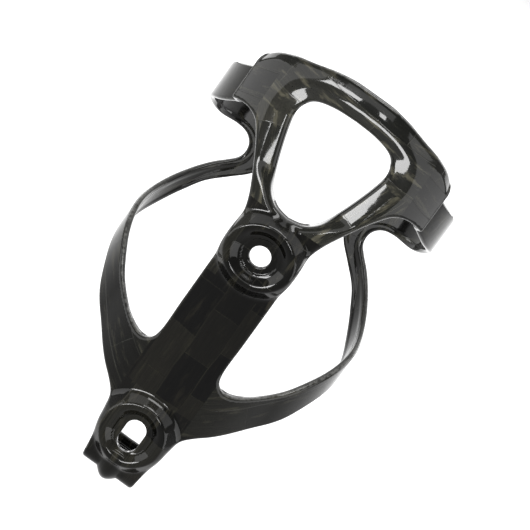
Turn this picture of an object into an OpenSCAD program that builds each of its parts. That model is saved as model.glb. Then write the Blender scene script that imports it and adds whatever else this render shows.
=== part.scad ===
// Moulded carbon water bottle cage, in the laid-up sections that make its shell.
// Origin: centre of the upper boss's seat. The frame tube is on the -Y side, the
// bottle on the +Y side and +Z points up along the bottle. The cage is the same
// on both sides of the plane x = 0. All sizes are in millimetres.

/* [Bottle] */
// Diameter of the bottle that the cage holds
bottle_d = 73.5; // [72:0.5:75]
// Play between the bottle and the inside of the shell
play = 0.95; // [0.5:0.05:1.5]
// Distance from the frame seat to the bottle's axis
axis_y = 46.75; // [46:0.25:48]

/* [Shell] */
// Thickness of the laminate
skin_t = 2; // [1.6:0.1:2.4]
// How far the back of the shell stands off the arms' cylinder
back_lift = 3.6; // [3:0.1:4]
// Half width of the spine
spine_half = 10.75; // [10:0.25:11.5]
// Depth of the flanges along the spine's edges
flange_d = 3.4; // [2:0.2:4]
// Thickness of those flanges
flange_t = 1.6; // [1.2:0.1:2]

/* [Mounting] */
// Distance between the two bolt holes
bolt_gap = 64; // [64:64]
// Radius of the round upper bolt hole
bolt_r = 3; // [2.7:0.1:3.2]
// Length of the lower slot, from end to end
slot_len = 10; // [9:0.5:11]
// Depth of the well from the seat to its floor
well_d = 2.2; // [1.8:0.1:2.5]
// Thickness of the floor of each well
floor_t = 1.8; // [1.5:0.1:2]
// Radius of the flat floor of each well
floor_r = 5.6; // [5:0.1:6]
// Width of the flat land on the crest of each boss
land_w = 1; // [0.6:0.1:1.4]
// Radius of the middle of the upper boss's crest
upper_crest_r = 8.5; // [8:0.1:8.8]
// Radius of the middle of the lower boss's crest, at its rounded ends
lower_crest_r = 7.5; // [7:0.1:7.8]
// How far the lower crest's top end is moved up from the slot's centre
lower_crest_up = 1.9; // [1:0.1:2.5]
// How far its bottom end is moved down
lower_crest_down = 0.4; // [0.2:0.1:1]
// Radius of the upper boss's foot, where it meets the spine
boss_foot_r = 11; // [10.6:0.1:11.4]

/* [Lower end] */
// Height of the top of the bottle shelf
shelf_z = -76.4; // [-77:0.2:-76]
// Outside radius of the bend into the shelf
bend_r = 3.8; // [3.4:0.1:3.9]
// Half width of the foot and the shelf
foot_half = 8.6; // [8:0.2:9.4]
// How far the shelf reaches from the frame seat
shelf_reach = 30; // [24:1:45]
// Height of the turned-up lip at the shelf's end
shelf_lip = 3; // [2:0.5:5]
// Radius of the stiffening bead that runs round the bend
bead_r = 2.1; // [1.6:0.1:2.4]
// How far the bead runs on under the shelf
bead_run = 6; // [2:1:12]

/* [Fineness] */
// Number of steps across a curved strip
across = 6; // [4:1:10]
// Number of steps between two sections of a curved strip
along = 5; // [3:1:8]
// Number of sides of a full round
round_n = 96; // [48:24:144]

/* [Hidden] */
$fn = round_n;
// Radius of the middle of the arms' laminate
mid_r = bottle_d / 2 + play + skin_t / 2;
// Radii of the outside and the inside of the back of the shell
back_out = mid_r + back_lift + skin_t / 2;
back_in = back_out - skin_t;
// Depth of the back of the shell behind the seat, at its outside
web_y = axis_y - back_out;
// Ends of the spine between the two bosses
web_top = -12;
web_low = -bolt_gap + 13;
// Top of the upper boss's plate and bottom of the lower one's
plate_top = 12;
plate_low = shelf_z - skin_t + bend_r;
slot_half = slot_len / 2 - bolt_r;
lower_foot_r = lower_crest_r + 2.5;
tiny = 0.01;

// Outlines on the unrolled shell, as [distance round the shell, height, lift].
// Each section of a strip is a pair of such points, one for each of its edges.
ARM = [
    [[8, -38.0, 3.6], [8, -56.8, 3.6]],
    [[15, -39.6, 2.7], [14.5, -55.1, 2.7]],
    [[22, -37.1, 1.3], [26.3, -47.6, 0.9]],
    [[30.9, -33.0, 0.3], [37.1, -41.0, 0.2]],
    [[41.2, -26.0, 0], [46.5, -33.7, 0]],
    [[56, -17.9, 0], [60.5, -25.9, 0]],
    [[69, -12.9, 0], [74, -19.6, 0]],
    [[79, -7.2, 0], [83.5, -12.7, 0]],
    [[90, 0.1, 0], [90, -7.1, 0]]];
LINK = [
    [[90, 0.1, 0], [90, -7.1, 0]],
    [[94.5, 2.8, 0], [97.5, -2.3, 0]],
    [[96.9, 5.0, 0], [103.5, 2.0, 0]],
    [[97.4, 7.0, 0], [106, 7.5, 0]],
    [[96.4, 9.6, 0], [104, 14.0, 0]],
    [[93.5, 12.3, 0], [97.5, 18.6, 0]],
    [[90, 13.6, 0], [90, 21.9, 0]]];
EAR = [
    [[24, 30.2, 3.6], [24, 49.7, 3.6]],
    [[28.9, 30.0, 3.6], [28.9, 47.3, 3.6]],
    [[32, 29.3, 3.3], [32, 44.9, 3.3]],
    [[34.4, 28.5, 2.0], [34.4, 42.0, 2.0]],
    [[37, 27.6, 0.6], [37, 39.4, 0.6]],
    [[46, 24.0, 0.3], [46, 36.6, 0.3]],
    [[60, 20.4, 0.3], [60, 32.6, 0.3]],
    [[76, 15.4, 0.1], [76, 26.8, 0.1]],
    [[90, 13.6, 0], [90, 21.9, 0]]];
STRUT = [
    [[0, 12.0, 3.6], [12.1, 12.0, 3.6]],
    [[4.2, 13.5, 3.6], [13.4, 14.5, 3.6]],
    [[7.7, 16.3, 3.6], [14.8, 17.0, 3.6]],
    [[10, 20.2, 3.6], [16.6, 20.5, 3.6]],
    [[12.4, 26.0, 3.6], [19.9, 25.6, 3.6]],
    [[14, 30.8, 3.6], [24, 30.2, 3.6]],
    [[15.4, 35.0, 3.6], [24, 35.0, 3.6]]];
HEAD = [
    [[24, 35.0, 3.6], [24, 49.7, 3.6]],
    [[20, 35.0, 3.6], [20, 51.4, 3.6]],
    [[15.4, 35.0, 3.6], [15.4, 52.8, 3.6]],
    [[15.7, 38.2, 3.6], [15, 52.9, 3.6]],
    [[14, 41.9, 3.6], [13, 53.4, 3.6]],
    [[11.5, 43.7, 3.6], [11, 53.8, 3.6]],
    [[6, 45.2, 3.6], [6, 54.5, 3.6]],
    [[0, 45.5, 3.6], [0, 54.8, 3.6]]];

// A point of the shell: round distance, height and lift off the arms' cylinder
function on_shell(q) = let (a = q[0] / mid_r * 180 / PI)
    [(mid_r + q[2]) * sin(a), axis_y - (mid_r + q[2]) * cos(a), q[1]];

// Smooth curve through four values
function curve(p, q, r, s, t) = 0.5 * (2 * q + (r - p) * t
    + (2 * p - 5 * q + 4 * r - s) * t * t + (3 * q - p - 3 * r + s) * t * t * t);

// The sections of a strip, with steps put in between them
function smooth_rows(k, n) = let (m = len(k) - 1) concat(
    [for (i = [0 : m - 1]) for (j = [0 : n - 1])
        [for (e = [0, 1]) curve(k[max(i - 1, 0)][e], k[i][e],
            k[i + 1][e], k[min(i + 2, m)][e], j / n)]],
    [k[m]]);

// Closed strip of laminate through a list of sections
module strip(rows, t = skin_t) {
    n = across;
    m = len(rows) - 1;
    w = n + 1;
    points = [for (side = [1, -1]) for (r = rows) for (j = [0 : n])
        let (q = r[0] + (r[1] - r[0]) * j / n)
        on_shell([q[0], q[1], q[2] + side * t / 2])];
    base = (m + 1) * w;
    function at(i, j, b) = b * base + i * w + j;
    skins = [for (i = [0 : m - 1]) for (j = [0 : n - 1]) each [
        [at(i, j, 0), at(i, j + 1, 0), at(i + 1, j + 1, 0)],
        [at(i, j, 0), at(i + 1, j + 1, 0), at(i + 1, j, 0)],
        [at(i, j, 1), at(i + 1, j + 1, 1), at(i, j + 1, 1)],
        [at(i, j, 1), at(i + 1, j, 1), at(i + 1, j + 1, 1)]]];
    edges = [for (i = [0 : m - 1]) each [
        [at(i, 0, 0), at(i + 1, 0, 0), at(i + 1, 0, 1)],
        [at(i, 0, 0), at(i + 1, 0, 1), at(i, 0, 1)],
        [at(i, n, 0), at(i + 1, n, 1), at(i + 1, n, 0)],
        [at(i, n, 0), at(i, n, 1), at(i + 1, n, 1)]]];
    ends = [for (j = [0 : n - 1]) each [
        [at(0, j, 0), at(0, j + 1, 1), at(0, j + 1, 0)],
        [at(0, j, 0), at(0, j, 1), at(0, j + 1, 1)],
        [at(m, j, 0), at(m, j + 1, 0), at(m, j + 1, 1)],
        [at(m, j, 0), at(m, j + 1, 1), at(m, j, 1)]]];
    polyhedron(points, concat(skins, edges, ends), convexity = 6);
}

// Cross-section of the back of the shell, seen along the bottle's axis
module back_section(half) {
    intersection() {
        difference() {
            translate([0, axis_y]) circle(r = back_out);
            translate([0, axis_y]) circle(r = back_in);
        }
        translate([-half, 0]) square([2 * half, axis_y / 2]);
    }
}

// Length of shell with an outline cut through it in the direction of the bolts
module back_plate(low, top, outline) {
    intersection() {
        translate([0, 0, low])
            linear_extrude(top - low)
            back_section(20);
        translate([0, axis_y / 2, 0])
            rotate([90, 0, 0])
            linear_extrude(axis_y / 2)
            polygon(outline);
    }
}

// Half profile of a raised boss: crest, well and floor
module boss_profile(crest, foot) {
    polygon([
        [0, well_d + floor_t],
        [0, well_d],
        [floor_r, well_d],
        [crest - land_w / 2 - 0.6, 0.4],
        [crest - land_w / 2, 0],
        [crest + land_w / 2, 0],
        [crest + land_w / 2 + 0.6, 0.4],
        [foot, web_y + 0.5],
        [foot, web_y + 1.6],
        [foot - 1.2, web_y + 1.6],
        [crest + 0.2, skin_t],
        [crest - 0.6, skin_t],
        [floor_r + 0.4, well_d + floor_t]]);
}

// Half of a raised boss, turned about the line of its bolt
module boss_end(crest, foot) {
    rotate([-90, 0, 0])
        rotate_extrude(angle = 180)
        boss_profile(crest, foot);
}

// Raised boss whose two round ends are moved up and down from the bolt's line
module boss_ring(crest, foot, up, down) {
    translate([0, 0, up]) rotate([0, 180, 0]) boss_end(crest, foot);
    translate([0, 0, -down]) boss_end(crest, foot);
    if (up + down > 0)
        for (side = [0, 1])
            mirror([side, 0, 0])
            translate([0, 0, -down])
            linear_extrude(up + down)
            boss_profile(crest, foot);
}

// Round or slotted column in the direction of the bolts
module column(r, up, down) {
    for (z = [up, -down])
        translate([0, -1, z])
        rotate([-90, 0, 0])
        cylinder(r = r, h = 12);
    if (up + down > 0)
        translate([-r, -1, -down])
        cube([2 * r, 12, up + down]);
}

// Pair of flanges along the edges of the spine
module spine_flanges(low, top) {
    for (side = [0, 1])
        mirror([side, 0, 0])
        translate([spine_half - flange_t, web_y + 1.8, low])
        cube([flange_t, flange_d, top - low]);
}

module spine_web() {
    color("dimgray")
    union() {
        translate([0, 0, web_low])
            linear_extrude(web_top - web_low)
            back_section(spine_half);
        spine_flanges(web_low, web_top);
    }
}

module upper_boss() {
    color("gray")
    difference() {
        union() {
            difference() {
                back_plate(web_top, plate_top, [
                    [-spine_half, web_top], [spine_half, web_top], [spine_half, 3],
                    [11.4, 8], [13.1, plate_top], [-13.1, plate_top],
                    [-11.4, 8], [-spine_half, 3]]);
                column(boss_foot_r - 1.2, 0, 0);
            }
            intersection() {
                boss_ring(upper_crest_r, boss_foot_r, 0, 0);
                translate([-spine_half, -tiny, web_top])
                    cube([2 * spine_half, 12, plate_top - web_top]);
            }
        }
        column(bolt_r, 0, 0);
    }
}

module lower_boss() {
    color("gray")
    difference() {
        union() {
            difference() {
                back_plate(plate_low, web_low, [
                    [-spine_half, web_low], [-spine_half, -bolt_gap + 7],
                    [-foot_half - 0.6, -bolt_gap - 5], [-foot_half, plate_low],
                    [foot_half, plate_low], [foot_half + 0.6, -bolt_gap - 5],
                    [spine_half, -bolt_gap + 7], [spine_half, web_low]]);
                translate([0, 0, -bolt_gap])
                    column(lower_foot_r - 1.2, lower_crest_up, lower_crest_down);
            }
            intersection() {
                translate([0, 0, -bolt_gap])
                    boss_ring(lower_crest_r, lower_foot_r, lower_crest_up, lower_crest_down);
                translate([-foot_half - 0.6, -tiny, plate_low])
                    cube([2 * foot_half + 1.2, 12, web_low - plate_low]);
            }
        }
        translate([0, 0, -bolt_gap])
            column(bolt_r, slot_half, slot_half);
    }
}

// Quarter of a ring about the line of the lower bend, as [depth, height]
module bend_quarter() {
    difference() {
        circle(r = bend_r);
        circle(r = bend_r - skin_t);
        translate([0, -bend_r - 1]) square([bend_r + 1, 2 * bend_r + 2]);
        translate([-bend_r - 1, 0]) square([bend_r + 2, bend_r + 1]);
    }
}

// Outer half of the bead's round section
module bead_half() {
    difference() {
        circle(r = bead_r);
        translate([-2 * bead_r, -2 * bead_r]) square([2 * bead_r, 4 * bead_r]);
    }
}

module foot() {
    color("dimgray")
    translate([-foot_half, web_y + bend_r, plate_low])
        rotate([90, 0, 90])
        linear_extrude(2 * foot_half)
        bend_quarter();
}

module foot_bead() {
    color("gray")
    translate([0, web_y + bend_r, plate_low])
        union() {
            rotate([0, 90, 0])
                rotate([0, 0, -90])
                rotate_extrude(angle = 90)
                translate([bend_r, 0])
                bead_half();
            translate([0, 0, -bend_r])
                rotate([-90, 0, 0])
                linear_extrude(bead_run)
                rotate([0, 0, 90])
                bead_half();
        }
}

module bottle_shelf() {
    low = shelf_z - skin_t;
    start = web_y + bend_r;
    color("dimgray")
    union() {
        translate([-foot_half, start, low])
            cube([2 * foot_half, shelf_reach - skin_t - start, skin_t]);
        translate([-foot_half, shelf_reach - skin_t, low])
            cube([2 * foot_half, skin_t, skin_t + shelf_lip]);
    }
}

module arm() {
    difference() {
        strip(smooth_rows(ARM, along));
        translate([-spine_half, -1, -80]) cube([2 * spine_half, 40, 90]);
    }
}

module ear() { strip(smooth_rows(EAR, along)); }
module link() { strip(smooth_rows(LINK, along)); }
module strut() { strip(STRUT); }

module left_arm() { color("slategray") mirror([1, 0, 0]) arm(); }
module right_arm() { color("slategray") arm(); }
module left_strut() { color("dimgray") mirror([1, 0, 0]) strut(); }
module right_strut() { color("dimgray") strut(); }
module left_ear() { color("slategray") mirror([1, 0, 0]) ear(); }
module right_ear() { color("slategray") ear(); }
module left_link() { color("gray") mirror([1, 0, 0]) link(); }
module right_link() { color("gray") link(); }

module head_band() {
    color("gray")
    union() {
        strip(HEAD);
        mirror([1, 0, 0]) strip(HEAD);
    }
}

// Rows of the lip: the inside edge of the head, turned in toward the bottle
module head_lip() {
    drop = skin_t;
    deep = 3;
    top = [for (i = [len(HEAD) - 1 : -1 : 0]) HEAD[i][1]];
    rows = [for (q = top) [
        [q[0], q[1] - drop, q[2] - skin_t / 2 - deep / 2],
        [q[0], q[1], q[2] - skin_t / 2 - deep / 2]]];
    color("dimgray")
    union() {
        strip(rows, deep);
        mirror([1, 0, 0]) strip(rows, deep);
    }
}

spine_web();
upper_boss();
lower_boss();
foot();
foot_bead();
bottle_shelf();
left_arm();
right_arm();
left_strut();
right_strut();
head_band();
head_lip();
left_ear();
right_ear();
left_link();
right_link();
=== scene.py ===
"""Looks of a moulded carbon water bottle cage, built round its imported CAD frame.

The cage is one thin shell. It is worked out on the unrolled shell, in
millimetres: s is the distance round the bottle, l the height along it, and w the
height off the outer skin, which is below nought inside the laminate. The shell is
cut there into the sections that the CAD names, and every section becomes a closed
mesh in the row frame, in metres.
"""

import math

import bpy
import numpy as np
from mathutils import Matrix, Vector


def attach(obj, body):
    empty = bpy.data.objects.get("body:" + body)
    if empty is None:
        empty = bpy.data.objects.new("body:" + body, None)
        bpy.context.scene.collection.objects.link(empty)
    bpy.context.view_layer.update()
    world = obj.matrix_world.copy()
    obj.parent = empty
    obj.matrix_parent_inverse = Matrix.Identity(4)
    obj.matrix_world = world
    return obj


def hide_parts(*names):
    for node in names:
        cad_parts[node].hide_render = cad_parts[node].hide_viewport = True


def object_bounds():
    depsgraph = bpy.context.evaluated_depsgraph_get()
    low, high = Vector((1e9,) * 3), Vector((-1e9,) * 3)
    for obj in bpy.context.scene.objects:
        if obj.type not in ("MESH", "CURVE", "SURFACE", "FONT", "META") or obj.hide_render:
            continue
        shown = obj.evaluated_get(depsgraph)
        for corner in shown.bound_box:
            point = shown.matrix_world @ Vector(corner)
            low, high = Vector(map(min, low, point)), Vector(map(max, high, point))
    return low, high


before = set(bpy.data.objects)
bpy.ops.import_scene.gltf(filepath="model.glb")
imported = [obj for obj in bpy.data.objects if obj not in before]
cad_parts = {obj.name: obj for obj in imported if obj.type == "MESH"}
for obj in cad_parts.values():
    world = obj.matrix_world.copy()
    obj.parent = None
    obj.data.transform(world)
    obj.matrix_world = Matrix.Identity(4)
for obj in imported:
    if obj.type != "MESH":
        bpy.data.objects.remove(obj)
cad_low, cad_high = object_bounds()

MM = 0.001

# ---------------------------------------------------------------- dimensions
# The cage's driving sizes, in millimetres, as in the part's own source.
BOTTLE_R = 36.75
PLAY = 0.95
SKIN = 2.0
LIFT = 3.6
AXIS_Y = 46.75
BOLT_GAP = 64.0
BOLT_R = 3.0
SLOT_HALF = 2.0
WELL = 2.2
MID_R = BOTTLE_R + PLAY + SKIN / 2
WEB_Y = AXIS_Y - MID_R - LIFT - SKIN / 2

# Raised bosses: middle of the crest, and how the racetrack one is stretched
UPPER_CREST = 8.5
LOWER_CREST = 7.5
LOWER_UP, LOWER_DOWN = 1.9, 0.4
WELL_STEP = 5.3

# Foot, bead and bottle shelf
BEND_R = 3.8
LIP_R = 3.0
SHELF_LOW = -78.4
FOOT_L = SHELF_LOW + BEND_R
SHELF_L = FOOT_L - (BEND_R - SKIN / 2) * math.pi / 2
SHELF_REACH = 30.0
SHELF_LIP = 3.0
TIP_L = (
    SHELF_L - (SHELF_REACH - LIP_R - WEB_Y - BEND_R)
    - (LIP_R - SKIN / 2) * math.pi / 2 - (SHELF_LIP + SKIN - LIP_R)
)
BEAD_R = 2.1
BEAD_HALF = 3.1
BEAD_END = SHELF_L - 6.0

# Where the shell's sections meet
ROOT_S = 10.2
CORNER_S = 24.0
LINK_S = 90.0
LOWER_L = -51.0
UPPER_L = 12.0
STRUT_L = 35.0
LIP_W = -2.3

# Width of the turned-in flange, and the broad bevel down to the window
FLANGE = 1.7
BEVEL_W = 4.8
BEVEL_SLOPE = 0.62

# Facet along the top of the head: its width at the middle and at the ears, and drop
FACET_W = 6.2
FACET_NARROW = 2.8
FACET_DROP = 1.6

# Lean of a boss's outer wall and of its well
BOSS_WALL = 1.35
WELL_WALL = 0.95

# Outlines on the unrolled shell, right half, as (distance round, height).
OUTER = [
    (0, 54.8), (6.5, 54.6), (13, 53.4), (19, 51.6), (24.5, 50.0), (29.2, 48.0),
    (32.6, 45.6), (34.6, 42.6), (36.8, 39.9), (40, 38.4), (46, 36.6), (60, 32.6),
    (76, 26.8), (90, 21.9), (97.8, 18.2), (103.8, 13.6), (106.2, 7.5),
    (103.4, 2.0), (97.5, -2.4), (90, -7.1), (83.5, -12.7), (74, -19.6),
    (60.5, -25.9), (46.5, -33.7), (37.1, -41.0), (26.3, -47.6), (18.4, -52.7),
    (14.2, -55.4), (11.4, -58.2), (10.0, -62), (9.1, -68), (8.3, -73),
    (7.9, -78), (7.87, -84), (7.87, -92), (7.8, TIP_L + 3.4), (6.6, TIP_L + 0.8),
    (3.8, TIP_L), (0, TIP_L),
]
WINDOW = [
    (0, 12.6), (4.2, 13.5), (7.7, 16.2), (10, 20.1), (12.4, 25.9), (14.9, 33.2),
    (15.8, 37.9), (14.2, 41.7), (11.2, 43.8), (6, 45.1), (0, 45.5),
]
LOOP = [
    (9.95, -34.5), (9.95, -24), (9.95, -12), (9.95, 0), (10.5, 7), (12.1, 11.8),
    (14.7, 17), (17.6, 22.2), (20.2, 26), (23, 29), (26.6, 30.3), (31.5, 29.6),
    (37, 27.6), (46, 24.0), (60, 20.4), (76, 15.4), (88, 13.8), (93.5, 12.3),
    (96.6, 9.8), (97.5, 7.0), (96.7, 4.6), (94, 2.4), (89, -0.6), (79, -7.2),
    (69, -12.9), (56, -17.9), (41.2, -26.0), (30.9, -33.0), (22, -37.1),
    (15.6, -39.2), (11.6, -38.4),
]


# --------------------------------------------------------------- small maths
def smooth(a, b, x):
    """0 up to a, 1 from b on, and a smooth step in between."""
    t = np.clip((x - a) / (b - a), 0.0, 1.0)
    return t * t * (3.0 - 2.0 * t)


def soft_min(a, b, k):
    """The lesser of a and b, with the change between them rounded over k."""
    h = np.clip(0.5 + 0.5 * (b - a) / k, 0.0, 1.0)
    return b + (a - b) * h - k * h * (1.0 - h)


def soft_max(a, b, k):
    """The greater of a and b, rounded the same way."""
    return -soft_min(-a, -b, k)


def corner(a, b, r):
    """Below nought where both a and b are, with their corner rounded to r."""
    p, q = a + r, b + r
    return (
        np.minimum(np.maximum(p, q), 0.0)
        + np.hypot(np.maximum(p, 0.0), np.maximum(q, 0.0))
        - r
    )


def spline(points, closed, steps=8):
    """A smooth curve through the points, as a list of its own points."""
    p = np.array(points, float)
    if closed:
        p = np.vstack([p[-1], p, p[0], p[1]])
    else:
        p = np.vstack([p[0] * (-1, 1), p, p[-1] * (-1, 1)])
    out = []
    for a, b, c, d in zip(p[:-3], p[1:-2], p[2:-1], p[3:]):
        for t in np.arange(steps) / steps:
            out.append(
                0.5 * (2 * b + (c - a) * t + (2 * a - 5 * b + 4 * c - d) * t**2
                       + (3 * b - a - 3 * c + d) * t**3)
            )
    out.append(p[-2])
    return np.array(out)


# ------------------------------------------------------------ shell's shape
def runs(*curves):
    """Both ends of every short straight run along the curves."""
    return np.vstack([c[:-1] for c in curves]), np.vstack([c[1:] for c in curves])


# each as a rough and as a fine set of runs
RIM = [runs(spline(OUTER, False, n), spline(LOOP, True, n)) for n in (2, 8)]
PANE = [runs(spline(WINDOW, False, n)) for n in (2, 8)]
TOP = spline(OUTER[:8], False)


def polygon_distance(a, l, starts, ends, chunk=800):
    """Distance in from the nearest run, and its slopes, for points on the right half."""
    run = ends - starts
    size = (run**2).sum(1)
    out = np.empty((3, len(a)))
    for i in range(0, len(a), chunk):
        ps, pl = a[i : i + chunk, None], l[i : i + chunk, None]
        ds, dl = ps - starts[:, 0], pl - starts[:, 1]
        t = np.clip((ds * run[:, 0] + dl * run[:, 1]) / size, 0.0, 1.0)
        ds -= t * run[:, 0]
        dl -= t * run[:, 1]
        far = ds**2 + dl**2
        k = far.argmin(1)
        row = np.arange(len(k))
        d = np.sqrt(far[row, k]) + 1e-9
        cross = (starts[:, 1] > pl) != (ends[:, 1] > pl)
        with np.errstate(divide="ignore", invalid="ignore"):
            at = starts[:, 0] + (pl - starts[:, 1]) / run[:, 1] * run[:, 0]
        inside = (cross & (at > ps)).sum(1) % 2 == 1
        sign = np.where(inside, 1.0, -1.0)
        out[:, i : i + chunk] = sign * d, sign * ds[row, k] / d, sign * dl[row, k] / d
    return out


def edge_distance(s, l, outline):
    """Distance in from an outline, and its slopes round the bottle and along it."""
    rough, fine = outline
    shape = np.broadcast(s, l).shape
    s, l = (np.broadcast_to(v, shape).ravel() for v in (s, l))
    out = polygon_distance(np.abs(s), l, *rough)
    near = np.abs(out[0]) < 8.0
    out[:, near] = polygon_distance(np.abs(s[near]), l[near], *fine)
    out[1] *= np.where(s < 0, -1.0, 1.0)
    return out.reshape((3,) + shape)


def lift(s, l):
    """How far the middle of the skin stands off the arms' cylinder."""
    a = np.abs(s)
    arms = 1 - smooth(10, 31, a)
    head = 1 - smooth(32.9, 36.6, a)
    t = smooth(-25, 8, l)
    return LIFT * (arms * (1 - t) + head * t)


def boss_depth(p, crest):
    """Depth of a boss's skin behind the seat, at p from its middle."""
    well = soft_min((crest - 0.75 - p) * WELL_WALL, 1.95 + 0 * p, 0.7)
    well = well + (WELL - 1.85) * (1 - smooth(WELL_STEP - 0.5, WELL_STEP, p))
    wall = (p - crest - 0.7) * BOSS_WALL
    return soft_max(soft_max(well, wall, 0.9), 0 * p, 0.5) - 0.12


def bead(s, l):
    """Height of the stiffening bead that runs round the foot."""
    round_it = np.clip(1 - (s / BEAD_HALF) ** 2, 0, 1) ** 1.15
    along = smooth(-70.5, -73.2, l) * (1 - smooth(BEAD_END + 2.2, BEAD_END, l))
    return BEAD_R * round_it * along


def top_gap(s, l):
    """Distance below the head's top edge."""
    a = np.abs(s)
    height = np.interp(a, TOP[:, 0], TOP[:, 1])
    lean = np.interp(a, TOP[:, 0], np.gradient(TOP[:, 1], TOP[:, 0]))
    return (height - l) / np.hypot(1, lean)


def outside(s, l):
    """Height of the shell's outer skin off the arms' cylinder."""
    up = lift(s, l) + SKIN / 2
    # facet along the top of the head, leaning toward the bottle
    a = np.abs(s)
    wide = FACET_W - (FACET_W - FACET_NARROW) * smooth(12, 30, a)
    facet = soft_max(1 - top_gap(s, l) / wide, 0 * a, 0.2) * FACET_DROP
    up = up - facet * smooth(38, 44, l + 0.25 * a) * (1 - smooth(32, 35, a))
    turn = np.cos(s / MID_R)
    flat = 1 - smooth(FOOT_L, FOOT_L + 11, l)
    turn = turn * (1 - flat) + flat
    depth = AXIS_Y - (MID_R + up) * turn - bead(s, l)
    x = (MID_R + LIFT) * np.sin(a / MID_R)
    near = np.hypot(x, l)
    upper = boss_depth(near, UPPER_CREST)
    low_l = l + BOLT_GAP
    near = np.hypot(x, low_l - np.clip(low_l, -LOWER_DOWN, LOWER_UP))
    lower = boss_depth(near, LOWER_CREST)
    raised = soft_min(depth, np.where(l > -40, upper, lower), 1.15)
    raised = (AXIS_Y - raised) / np.maximum(turn, 0.3) - MID_R
    return np.where(a < 30, raised, up)


def thickness(s, l):
    """Depth from the outer to the inner skin, more where the skin is steep."""
    e = 0.9
    gs = (outside(s + e, l) - outside(s - e, l)) / (2 * e)
    gl = (outside(s, l + e) - outside(s, l - e)) / (2 * e)
    return SKIN * np.minimum(np.sqrt(1 + gs**2 + gl**2), 1.5)


def edge_sizes(s, l):
    """Round of the outer edge, and depth of the flange turned in from it."""
    a = np.abs(s)
    head = smooth(2, 13, l) * (1 - smooth(21, 27, a))
    back = (1 - smooth(11, 24, a)) * smooth(-70, -62, l)
    rounding = 0.85 + 0.9 * head + 0.4 * back
    rounding = np.minimum(rounding, 0.85 + 0.5 * np.maximum(top_gap(s, l), 0) + 3 * (a > 30))
    flange = SKIN + 2.0 * back * (1 - smooth(20, 26, l)) * (1 - head) + 3.4 * head
    lip = outside(s, l) + 1.3
    near_top = (1 - smooth(2.2, 3.4, top_gap(s, l))) * (1 - smooth(23, 24.5, a))
    return rounding, flange + (lip - flange) * near_top * (l > 40)


class Sizes:
    """What sets the shell's section at each point of its unrolled sheet."""

    def __init__(self, s, l):
        self.round, self.flange = edge_sizes(s, l)
        self.thick = thickness(s, l)
        x = (MID_R + LIFT) * np.sin(np.clip(s, -40, 40) / MID_R)
        hole = BOLT_R - np.hypot(x, l)
        low_l = l + BOLT_GAP
        slot = BOLT_R - np.hypot(x, low_l - np.clip(low_l, -SLOT_HALF, SLOT_HALF))
        self.hole = np.maximum(hole, slot)
        self.bevel = BEVEL_W * smooth(13, 22, l)


def solid(f, w, rim, pane):
    """Below nought inside the shell: w is the height off its outer skin, and rim
    and pane are the distances in from its outer edges and from the window's."""
    drop = np.maximum(f.bevel - pane, 0.0) * BEVEL_SLOPE
    skin = corner(-np.minimum(rim, pane), w, f.round)
    skin = soft_max(skin, (w + (f.bevel - pane) * BEVEL_SLOPE) * 0.85, 1.1)
    cavity = corner(FLANGE - np.minimum(rim, pane), w + f.thick + 0.85 * drop, 0.9)
    body = soft_max(skin, -cavity, 0.5)
    body = soft_max(body, -(w + np.maximum(f.flange, f.thick)), 0.8)
    return soft_max(body, f.hole, 0.5)


def slope(p):
    """What solid() gives at the points, and its slope along s, l and w."""
    s, l, w = p[:, 0], p[:, 1], p[:, 2]
    rim = edge_distance(s, l, RIM)
    pane = edge_distance(s, l, PANE) * -1
    f = Sizes(s, l)
    e = 0.02
    g = np.empty_like(p)
    g[:, 2] = solid(f, w + e, rim[0], pane[0]) - solid(f, w - e, rim[0], pane[0])
    for a, (ds, dl) in enumerate(((e, 0), (0, e))):
        ends = [
            solid(Sizes(s + k * ds, l + k * dl), w,
                  rim[0] + k * e * rim[1 + a], pane[0] + k * e * pane[1 + a])
            for k in (1, -1)
        ]
        g[:, a] = ends[0] - ends[1]
    return solid(f, w, rim[0], pane[0]), g / (2 * e)


def to_space(s, l, w):
    """A point of the unrolled shell, at height w off the cylinder, in the row frame."""
    reach = MID_R + w
    flat = 1 - smooth(FOOT_L, FOOT_L + 11, l)
    x = reach * np.sin(s / MID_R) * (1 - flat) + s * (MID_R + LIFT) / MID_R * flat
    depth = AXIS_Y - reach * (np.cos(s / MID_R) * (1 - flat) + flat)
    y, z = depth + 0.0, l + 0.0 * s
    # round the bend at the foot, along the shelf and up its lip
    centre = WEB_Y + BEND_R
    out = centre - depth
    u = FOOT_L - l
    bend = (BEND_R - SKIN / 2) * math.pi / 2
    turn = np.clip(u / bend, 0, 1) * math.pi / 2
    below = u > 0
    y = np.where(below, centre - out * np.cos(turn) + np.maximum(u - bend, 0), y)
    z = np.where(below, FOOT_L - out * np.sin(turn), z)
    run = SHELF_REACH - LIP_R - centre
    past = u - bend - run
    rise = (LIP_R - SKIN / 2) * math.pi / 2
    turn = np.clip(past / rise, 0, 1) * math.pi / 2
    arc = LIP_R + out - BEND_R
    tip = past > 0
    y = np.where(tip, centre + run + arc * np.sin(turn), y)
    z = np.where(
        tip, SHELF_LOW + LIP_R - arc * np.cos(turn) + np.maximum(past - rise, 0), z
    )
    return np.stack([x, y, z], -1)


# ----------------------------------------------------- cutting it in sections
NAMES = [
    "air", "spine_web", "upper_boss", "lower_boss", "foot", "foot_bead",
    "bottle_shelf", "left_arm", "right_arm", "left_strut", "right_strut",
    "head_band", "head_lip", "left_ear", "right_ear", "left_link", "right_link",
]
LABEL = {name: i for i, name in enumerate(NAMES)}


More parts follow.
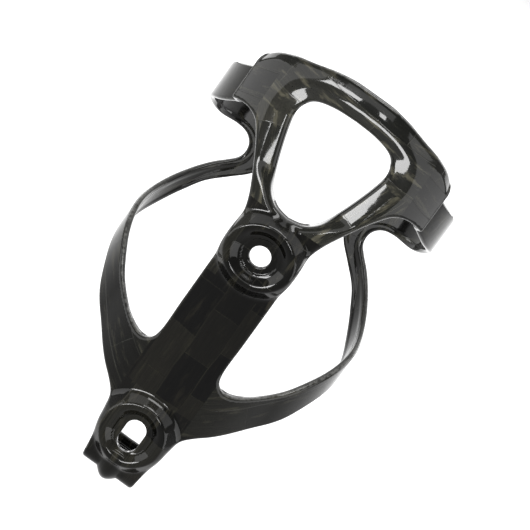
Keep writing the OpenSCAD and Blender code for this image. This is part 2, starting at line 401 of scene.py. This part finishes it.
def section_of(s, l):
    """Label of the section that a column of the shell belongs to."""
    a = np.abs(s)

    def sided(name):
        return np.where(s < 0, LABEL["left_" + name], LABEL["right_" + name])

    low = np.select(
        [l < SHELF_L, l < FOOT_L, l < LOWER_L, l < -UPPER_L, l < UPPER_L],
        [LABEL["bottle_shelf"], LABEL["foot"], LABEL["lower_boss"],
         LABEL["spine_web"], LABEL["upper_boss"]],
        LABEL["head_band"],
    )
    low = np.where((l < FOOT_L) & (l > BEAD_END) & (a < BEAD_HALF), LABEL["foot_bead"], low)
    low = np.where((l > UPPER_L) & (l < STRUT_L), sided("strut"), low)
    out = np.where(l > 5, sided("ear"), sided("arm"))
    out = np.where(a > LINK_S, sided("link"), out)
    beside = np.where(l < -UPPER_L, a > ROOT_S, a > CORNER_S)
    return np.where(beside, out, low)


def axis(cuts, steps):
    """Grid lines with a cell's middle on each cut, and steps cells between cuts."""
    middles = [cuts[0]]
    for a, b, h in zip(cuts[:-1], cuts[1:], steps):
        n = max(int(round((b - a) / h)), 2)
        middles += list(a + (b - a) * np.arange(1, n + 1) / n)
    middles = np.array(middles)
    return (middles[:-1] + middles[1:]) / 2, middles[1:-1]


def mend_pinches(label):
    """Fills one corner wherever two solid corners of a grid square only meet across it."""
    for a, b in ((0, 1), (0, 2), (1, 2)) * 2:
        grid = np.moveaxis(label, (a, b), (0, 1))
        p, q, r, t = grid[:-1, :-1], grid[1:, :-1], grid[:-1, 1:], grid[1:, 1:]
        one = (p > 0) & (t > 0) & (q == 0) & (r == 0)
        two = (q > 0) & (r > 0) & (p == 0) & (t == 0)
        q[one] = p[one]
        p[two] = q[two]


def build_shell():
    """Points of the whole shell, unrolled and in space, its normals, and each
    section's faces with a note of those that it shares with a neighbour."""
    fine, mid, wide = 0.33, 0.42, 0.52
    right = [0, BEAD_HALF, ROOT_S, CORNER_S, LINK_S, 108.5]
    steps = [fine, fine, mid, wide, mid]
    s_axis, s_mid = axis([-v for v in right[:0:-1]] + right, steps[::-1] + steps)
    l_axis, l_mid = axis(
        [TIP_L - 1.6, BEAD_END, SHELF_L, FOOT_L, LOWER_L, -UPPER_L, UPPER_L, STRUT_L, 56.4],
        [wide, mid, fine, fine, wide, fine, mid, mid],
    )
    deepest, above_skin, layer = -6.9, 0.9, 0.36
    w_axis, w_mid = axis([deepest, LIP_W, above_skin], [layer, layer])

    s2, l2 = np.meshgrid(s_axis, l_axis, indexing="ij")
    rim = edge_distance(s2, l2, RIM)[0]
    pane = edge_distance(s2, l2, PANE)[0] * -1
    f = Sizes(s2[..., None], l2[..., None])
    value = solid(f, w_axis[None, None, :], rim[..., None], pane[..., None])
    label = np.broadcast_to(section_of(s2, l2)[..., None], value.shape).copy()
    lip = (np.abs(s2) < CORNER_S) & (l2 > 40) & (top_gap(s2, l2) < 3.2)
    label[lip[..., None] & (w_axis < LIP_W)] = LABEL["head_lip"]
    label[value >= 0] = 0
    mend_pinches(label)

    # cells that hold a corner of the surface get one point each
    corners = [
        label[i : i - 1 or None, j : j - 1 or None, k : k - 1 or None]
        for i in (0, 1) for j in (0, 1) for k in (0, 1)
    ]
    low, high = np.minimum.reduce(corners), np.maximum.reduce(corners)
    cells = np.argwhere(low != high)
    index = np.full(low.shape, -1, np.int64)
    index[tuple(cells.T)] = np.arange(len(cells))
    airy = low[tuple(cells.T)] == 0
    middle = np.stack([s_mid[cells[:, 0]], l_mid[cells[:, 1]], w_mid[cells[:, 2]]], 1)

    # which ways each cell is cut between two sections
    cut = np.zeros((len(cells), 3), bool)
    block = np.stack(corners)[:, cells[:, 0], cells[:, 1], cells[:, 2]]
    block = block.reshape(2, 2, 2, -1)
    for a in range(3):
        one, two = np.take(block, 0, a), np.take(block, 1, a)
        cut[:, a] = ((one != two) & (one > 0) & (two > 0)).any((0, 1))

    # a start at the mean of the crossings, then steps down to the surface
    ends = np.stack([
        value[i : i - 1 or None, j : j - 1 or None, k : k - 1 or None][tuple(cells.T)]
        for i in (0, 1) for j in (0, 1) for k in (0, 1)
    ]).reshape(2, 2, 2, -1)
    axes = (s_axis, l_axis, w_axis)
    low_c = np.stack([axes[a][cells[:, a]] for a in range(3)], 1)
    high_c = np.stack([axes[a][cells[:, a] + 1] for a in range(3)], 1)
    total, count = np.zeros((len(cells), 3)), np.zeros(len(cells))
    for a in range(3):
        v0, v1 = np.take(ends, 0, a), np.take(ends, 1, a)
        crossing = (v0 < 0) != (v1 < 0)
        t = np.where(crossing, v0 / np.where(crossing, v0 - v1, 1), 0)
        b, c = [x for x in range(3) if x != a]
        for i in (0, 1):
            for j in (0, 1):
                hit = crossing[i, j]
                total[hit, a] += (low_c[:, a] + t[i, j] * (high_c[:, a] - low_c[:, a]))[hit]
                total[hit, b] += np.where(i, high_c[:, b], low_c[:, b])[hit]
                total[hit, c] += np.where(j, high_c[:, c], low_c[:, c])[hit]
                count[hit] += 1
    has = count > 0
    p = np.where(has[:, None], total / np.maximum(count, 1)[:, None], middle)
    p = np.where(cut, middle, p)
    room = (high_c - low_c) * 0.95
    for _ in range(4):
        q, g = slope(p[airy])
        g = g * ~cut[airy]
        step = q[:, None] * g / np.maximum((g**2).sum(1), 0.05)[:, None]
        p[airy] = np.clip(p[airy] - step, middle[airy] - room[airy], middle[airy] + room[airy])
    _, g = slope(p)

    # to the row frame, with the surface's own normals
    e = 0.01

    def place(a):
        return to_space(a[:, 0], a[:, 1], outside(a[:, 0], a[:, 1]) + a[:, 2])

    legs = [
        (place(p + e * np.eye(3)[a]) - place(p - e * np.eye(3)[a])) / (2 * e)
        for a in range(3)
    ]
    normal = (
        np.cross(legs[1], legs[2]) * g[:, :1]
        + np.cross(legs[2], legs[0]) * g[:, 1:2]
        + np.cross(legs[0], legs[1]) * g[:, 2:]
    )
    normal /= np.maximum(np.linalg.norm(normal, axis=1), 1e-9)[:, None]
    space = place(p)

    # a face across every grid edge whose two ends are in different sections
    faces = {i: [] for i in range(1, len(NAMES))}
    for a in range(3):
        b, c = (a + 1) % 3, (a + 2) % 3
        one = np.take(label, range(label.shape[a] - 1), a)
        two = np.take(label, range(1, label.shape[a]), a)
        at = np.argwhere(one != two)
        at = at[(at[:, b] > 0) & (at[:, c] > 0)]
        at = at[(at[:, b] < label.shape[b] - 1) & (at[:, c] < label.shape[c] - 1)]
        quad = []
        for db, dc in ((1, 1), (0, 1), (0, 0), (1, 0)):
            cell = at.copy()
            cell[:, b] -= db
            cell[:, c] -= dc
            quad.append(index[tuple(cell.T)])
        quad = np.stack(quad, 1)
        la, lb = one[tuple(at.T)], two[tuple(at.T)]
        shared = (la > 0) & (lb > 0)
        for i in faces:
            mine = la == i
            faces[i].append((quad[mine], shared[mine]))
            mine = lb == i
            faces[i].append((quad[mine][:, ::-1], shared[mine]))
    return p, space, normal, faces


def make_mesh(name, sheet, rim, space, normal, parts):
    """One closed section of the shell, with the shell's own normals on its skin."""
    quads = np.concatenate([q for q, _ in parts])
    shared = np.concatenate([c for _, c in parts])
    used, new = np.unique(quads, return_inverse=True)
    quads = new.reshape(quads.shape)
    mesh = bpy.data.meshes.new(name)
    mesh.from_pydata((space[used] * MM).tolist(), [], quads.tolist())
    mesh.polygons.foreach_set("use_smooth", np.ones(len(quads), bool))
    mesh.update()
    flat = np.empty(len(quads) * 3, np.float32)
    mesh.polygons.foreach_get("normal", flat)
    flat = flat.reshape(-1, 3)
    corners = normal[used][quads]
    corners[shared] = flat[shared][:, None]
    mesh.normals_split_custom_set(corners.reshape(-1, 3))
    skin = np.stack([rim, rim * 0, rim * 0], 1)
    for title, values in (("sheet", sheet), ("skin", skin)):
        layer = mesh.attributes.new(title, "FLOAT_VECTOR", "POINT")
        layer.data.foreach_set("vector", values[used].astype(np.float32).ravel())
    return mesh


# ------------------------------------------------------------------- material
# Lacquer over the laminate, and the pale resin where an edge is trimmed
COAT_IOR = 1.23
COAT_ROUGHNESS = 0.075
LAMINATE_SPECULAR = 0.012
TRIMMED_EDGE = (0.05, 0.05, 0.047, 1)

# Relief in metres: of the fibres in the laminate, and of the lacquer over the laps
FIBRE_RELIEF = 0.00002
LACQUER_RELIEF = 0.00006


def tinted(colour, red, green, blue):
    """A colour with each of its channels scaled."""
    return colour[0] * red, colour[1] * green, colour[2] * blue, 1


class Nodes:
    """Short calls for building a material's node tree."""

    def __init__(self, name):
        self.material = bpy.data.materials.new(name)
        self.material.use_nodes = True
        self.tree = self.material.node_tree
        self.shader = self.tree.nodes["Principled BSDF"]

    def add(self, kind, **settings):
        node = self.tree.nodes.new(kind)
        for key, value in settings.items():
            setattr(node, key, value)
        return node

    def put(self, value, socket):
        if isinstance(value, bpy.types.NodeSocket):
            self.tree.links.new(value, socket)
        else:
            socket.default_value = value

    def math(self, operation, a, b=0.0, clamp=False):
        node = self.add("ShaderNodeMath", operation=operation, use_clamp=clamp)
        self.put(a, node.inputs[0])
        self.put(b, node.inputs[1])
        return node.outputs[0]

    def range(self, value, low, high, to_low=0.0, to_high=1.0):
        node = self.add("ShaderNodeMapRange", interpolation_type="SMOOTHSTEP")
        for item, socket in zip((value, low, high, to_low, to_high), node.inputs):
            self.put(item, socket)
        return node.outputs[0]

    def mix(self, factor, a, b):
        node = self.add("ShaderNodeMix", data_type="RGBA")
        self.put(factor, node.inputs[0])
        self.put(a, node.inputs[6])
        self.put(b, node.inputs[7])
        return node.outputs[2]

    def noise(self, vector, scale, detail=2.0, rough=0.5):
        node = self.add("ShaderNodeTexNoise")
        self.put(vector, node.inputs["Vector"])
        self.put(scale, node.inputs["Scale"])
        self.put(detail, node.inputs["Detail"])
        self.put(rough, node.inputs["Roughness"])
        return node.outputs[0]

    def stretched(self, vector, turn, size):
        """The sheet's coordinates turned, then squeezed along the fibres."""
        node = self.add("ShaderNodeMapping")
        self.put(vector, node.inputs["Vector"])
        self.put((0, 0, turn), node.inputs["Rotation"])
        self.put(size, node.inputs["Scale"])
        return node.outputs[0]


def carbon(slot, dark, pale, width, length, marbling, seed):
    """Clear-coated unidirectional carbon: patches of ply, their laps, fibres and a resin rim.

    The sheet attribute is in millimetres: along the fibres, across them, and
    height off the outer skin. The skin attribute's first number is the distance
    in from the edge. Patches of ply are width by length millimetres.
    """
    n = Nodes(slot)
    sheet = n.add("ShaderNodeAttribute", attribute_name="sheet").outputs["Vector"]
    skin = n.add("ShaderNodeAttribute", attribute_name="skin").outputs["Vector"]
    rim = n.add("ShaderNodeSeparateXYZ")
    n.put(skin, rim.inputs[0])
    depth = n.add("ShaderNodeSeparateXYZ")
    n.put(sheet, depth.inputs[0])

    # plies: their borders wander a little, and each has its own tone
    wander = n.add("ShaderNodeTexNoise")
    n.put(sheet, wander.inputs["Vector"])
    n.put(0.09, wander.inputs["Scale"])
    bend = n.add("ShaderNodeVectorMath", operation="MULTIPLY_ADD")
    n.put(wander.outputs["Color"], bend.inputs[0])
    bend.inputs[1].default_value = (1.6, 1.2, 0.0)
    n.put(sheet, bend.inputs[2])
    shift = n.add("ShaderNodeVectorMath", operation="ADD")
    n.put(bend.outputs[0], shift.inputs[0])
    shift.inputs[1].default_value = (seed * 13.7, seed * 5.3, 0.0)
    plies = n.add("ShaderNodeTexBrick", offset=0.37, squash=1.0)
    n.put(shift.outputs[0], plies.inputs["Vector"])
    for name, value in (
        ("Scale", 1.0), ("Mortar Size", 0.16), ("Mortar Smooth", 0.6), ("Bias", -0.15),
        ("Brick Width", length), ("Row Height", width),
        ("Color1", (0, 0, 0, 1)), ("Color2", (1, 1, 1, 1)), ("Mortar", (0.6, 0.6, 0.6, 1)),
    ):
        plies.inputs[name].default_value = value
    tone = plies.outputs["Color"]
    lap = plies.outputs["Fac"]

    tows = n.noise(n.stretched(sheet, 0, (0.03, 0.55, 0.55)), 1.0, 3.0, 0.6)
    fibres = n.noise(n.stretched(sheet, 0, (0.12, 4.5, 4.5)), 1.0, 4.0, 0.7)
    streak = n.math("MULTIPLY", n.range(fibres, 0.35, 0.68), 0.45)
    broad = n.math("MULTIPLY", n.range(tows, 0.38, 0.66), 0.35)
    amount = n.math("MULTIPLY", tone, n.math("ADD", streak, 0.45))
    amount = n.math("ADD", amount, n.math("MULTIPLY", broad, streak), clamp=True)
    # dark and pale come per slot, and their levels carry painted reflection (boss, head) and
    # painted shade (back)
    colour = n.mix(amount, (*dark, 1), (*pale, 1))
    swirl = n.noise(n.stretched(sheet, 0.3, (0.07, 0.42, 0.4)), 1.0, 5.0, 0.65)
    marble = n.math("MULTIPLY", n.range(swirl, 0.53, 0.66), n.math("ADD", streak, 0.4))
    marble = n.math("MULTIPLY", marble, marbling)
    colour = n.mix(marble, colour, tinted(pale, 2.6, 2.5, 2.2))
    laps = n.math("MULTIPLY", lap, n.range(tows, 0.42, 0.66, 0.0, 0.4))
    colour = n.mix(laps, colour, tinted(pale, 1.8, 1.8, 1.7))

    # the trimmed edge shows paler resin here and there, on its outer corner only
    wear = n.noise(sheet, 0.8, 3.0, 0.6)
    edge = n.range(n.math("ABSOLUTE", rim.outputs[0]), 0.1, 0.55, 0.55, 0.0)
    edge = n.math("MULTIPLY", edge, n.range(wear, 0.35, 0.65))
    edge = n.math("MULTIPLY", edge, n.range(depth.outputs[2], -1.5, -0.6))
    colour = n.mix(edge, colour, TRIMMED_EDGE)
    n.put(colour, n.shader.inputs["Base Color"])

    n.put(n.range(fibres, 0.3, 0.7, 0.34, 0.5), n.shader.inputs["Roughness"])
    n.put(LAMINATE_SPECULAR, n.shader.inputs["Specular IOR Level"])
    n.put(1.0, n.shader.inputs["Coat Weight"])
    n.put(COAT_IOR, n.shader.inputs["Coat IOR"])
    n.put(COAT_ROUGHNESS, n.shader.inputs["Coat Roughness"])

    weave = n.add("ShaderNodeBump")
    n.put(0.5, weave.inputs["Strength"])
    n.put(FIBRE_RELIEF, weave.inputs["Distance"])
    n.put(fibres, weave.inputs["Height"])
    n.put(weave.outputs[0], n.shader.inputs["Normal"])

    # the lacquer flows over the laps and is a little uneven
    flow = n.add("ShaderNodeBump")
    n.put(0.35, flow.inputs["Strength"])
    n.put(LACQUER_RELIEF, flow.inputs["Distance"])
    peel = n.math("MULTIPLY", n.noise(sheet, 0.35, 2.0, 0.4), 1.2)
    n.put(n.math("ADD", peel, n.math("MULTIPLY", lap, 0.6)), flow.inputs["Height"])
    n.put(flow.outputs[0], n.shader.inputs["Coat Normal"])
    return n.material


# Each slot's darkest and palest ply, the width and length of its patches in
# millimetres, how marbled its resin is, and a seed that shifts its pattern. The ply
# levels also paint light: the boss and head slots are made paler as painted
# reflection, and the back slot is kept darkest as painted shade.
LOOKS = {
    "carbon_back": ((0.0002, 0.0002, 0.0002), (0.0040, 0.0037, 0.0026), 7.6, 15, 0.3, 1),
    "carbon_boss": ((0.0004, 0.0004, 0.0003), (0.0062, 0.0059, 0.0045), 9, 14, 0.7, 2),
    "carbon_foot": ((0.0004, 0.0004, 0.0003), (0.0050, 0.0048, 0.0038), 6, 12, 0.6, 3),
    "carbon_arm": ((0.0005, 0.0005, 0.0004), (0.0066, 0.0065, 0.0052), 8, 33, 0.7, 4),
    "carbon_head": ((0.0010, 0.0011, 0.0009), (0.0100, 0.0097, 0.0077), 11, 26, 0.9, 5),
}
MATERIALS = {slot: carbon(slot, *look) for slot, look in LOOKS.items()}

# Each kind of section: the finish it takes, and which way its fibres run, in
# degrees from straight round the bottle.
FINISH = {
    "spine_web": ("carbon_back", 90), "upper_boss": ("carbon_boss", 90),
    "lower_boss": ("carbon_boss", 90), "foot": ("carbon_foot", 90),
    "foot_bead": ("carbon_foot", 90), "bottle_shelf": ("carbon_foot", 90),
    "arm": ("carbon_arm", 31), "link": ("carbon_arm", 75), "ear": ("carbon_arm", -19),
    "strut": ("carbon_head", 64), "head_band": ("carbon_head", -6),
    "head_lip": ("carbon_head", -3),
}


# Shift along the pattern, in millimetres, so the left side doesn't mirror the right
OTHER_SIDE = 230


def along_fibres(name, sheet):
    """The unrolled points turned to run along a section's fibres, each side its own."""
    kind = name.split("_")[-1] if name[:4] in ("left", "righ") else name
    slot, degrees = FINISH[kind]
    out = sheet.copy()
    if name.startswith("left"):
        out[:, 0] *= -1
        out[:, 1] += OTHER_SIDE
    turn = math.radians(degrees)
    u = out[:, 0] * math.cos(turn) + out[:, 1] * math.sin(turn)
    out[:, 1] = out[:, 1] * math.cos(turn) - out[:, 0] * math.sin(turn)
    out[:, 0] = u
    return slot, out


# ---------------------------------------------------------------------- build
sheet, space, normal, faces = build_shell()
rim = np.minimum(
    edge_distance(sheet[:, 0], sheet[:, 1], RIM)[0],
    -edge_distance(sheet[:, 0], sheet[:, 1], PANE)[0],
)
lit = bpy.data.collections.new("lit_by_the_boxes")
head = bpy.data.collections.new("lit_by_the_low_card")
for index, name in enumerate(NAMES[1:], 1):
    slot, turned = along_fibres(name, sheet)
    mesh = make_mesh(name + "_skin", turned, rim, space, normal, faces[index])
    mesh.materials.append(MATERIALS[slot])
    piece = bpy.data.objects.new(name + "_skin", mesh)
    bpy.context.scene.collection.objects.link(piece)
    lit.objects.link(piece)
    if slot == "carbon_head":
        head.objects.link(piece)
    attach(piece, "root")
    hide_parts(name)


# --------------------------------------------------------- camera, light, floor
CAMERA_ELEVATION = 13
CAMERA_ROLL = 35.7
CAMERA_DISTANCE = 0.70
CAMERA_TARGET = (2.44, 20.0, -5.10)
CAMERA_LENS = 167.2
FLOOR_GAP = 0.12
FLOOR_HALF = 6.0
AIM = (0, 0.02, 0)

# Area lights round the cage in the row frame: name, place, size and radiance.
# The keys make the crisp highlights, the panels and rear boxes the soft sheen.
BOXES = (
    ("left_panel", (-0.68, -0.18, 0.08), (0.70, 0.50), 4.5),
    ("right_panel", (0.68, -0.18, 0.08), (0.70, 0.50), 4.5),
    ("left_rear", (-0.65, 0.80, 0.35), (0.90, 0.70), 5),
    ("right_rear", (0.65, 0.80, 0.35), (0.90, 0.70), 5),
    ("left_key", (-0.34, -0.71, 0.21), (0.52, 0.20), 56),
    ("right_key", (0.20, -0.77, 0.20), (0.09, 0.20), 52),
    ("front_fill", (0, -0.90, 0.55), (1.0, 0.35), 3.5),
    ("top_strip", (0, -0.10, 0.60), (0.40, 0.14), 20),
)


def add_camera():
    """Frame-tube side, a little above, and rolled as the cage was laid."""
    elevation, roll = math.radians(CAMERA_ELEVATION), math.radians(CAMERA_ROLL)
    distance = CAMERA_DISTANCE
    target = Vector(CAMERA_TARGET) * MM
    ahead = Vector((0, math.cos(elevation), -math.sin(elevation)))
    across = Vector((1, 0, 0))
    above = across.cross(ahead)
    right = math.cos(roll) * across + math.sin(roll) * above
    up = -math.sin(roll) * across + math.cos(roll) * above
    data = bpy.data.cameras.new("camera")
    data.lens = CAMERA_LENS
    data.sensor_width = 36.0
    data.clip_start = 0.01
    camera = bpy.data.objects.new("camera", data)
    turn = Matrix((right, up, -ahead)).transposed()
    camera.matrix_world = Matrix.LocRotScale(target - distance * ahead, turn, None)
    bpy.context.scene.collection.objects.link(camera)
    bpy.context.scene.camera = camera


def add_softbox(name, place, size, radiance, towards, only=None):
    """An area light of this radiance, which cameras look through."""
    data = bpy.data.lights.new(name, "AREA")
    data.shape = "RECTANGLE"
    data.size, data.size_y = size
    data.energy = radiance * math.pi * size[0] * size[1]
    lamp = bpy.data.objects.new(name, data)
    lamp.location = place
    aim = Vector(towards) - Vector(place)
    lamp.rotation_euler = aim.to_track_quat("-Z", "Y").to_euler()
    lamp.visible_camera = False
    lamp.light_linking.receiver_collection = only
    bpy.context.scene.collection.objects.link(lamp)


def add_studio():
    """A pale floor well below the held cage, the boxes that light it, and a lit background."""
    world = bpy.data.worlds.new("studio")
    world.use_nodes = True
    background = world.node_tree.nodes["Background"]
    background.inputs["Color"].default_value = (1, 1, 1, 1)
    background.inputs["Strength"].default_value = 0.5
    bpy.context.scene.world = world
    half, level = FLOOR_HALF, cad_low[2] - FLOOR_GAP
    corners = [(-half, -half), (half, -half), (half, half), (-half, half)]
    mesh = bpy.data.meshes.new("floor")
    mesh.from_pydata([(x, y, level) for x, y in corners], [], [(0, 1, 2, 3)])
    floor = bpy.data.objects.new("floor", mesh)
    bpy.context.scene.collection.objects.link(floor)
    pale = Nodes("pale_floor")
    pale.put((0.92, 0.92, 0.92, 1), pale.shader.inputs["Base Color"])
    pale.put(0.8, pale.shader.inputs["Roughness"])
    mesh.materials.append(pale.material)
    for name, place, size, radiance in BOXES:
        add_softbox(name, place, size, radiance, AIM, lit)
    add_softbox("low_card", (0.03, -0.18, -0.15), (0.18, 0.09), 50, AIM, head)
    add_softbox("background_light", (0, 1.7, 1.0), (2.6, 3.6), 2.2, (0, 1.69, 0))


add_camera()
add_studio()
bpy.context.scene.view_settings.view_transform = "Standard"
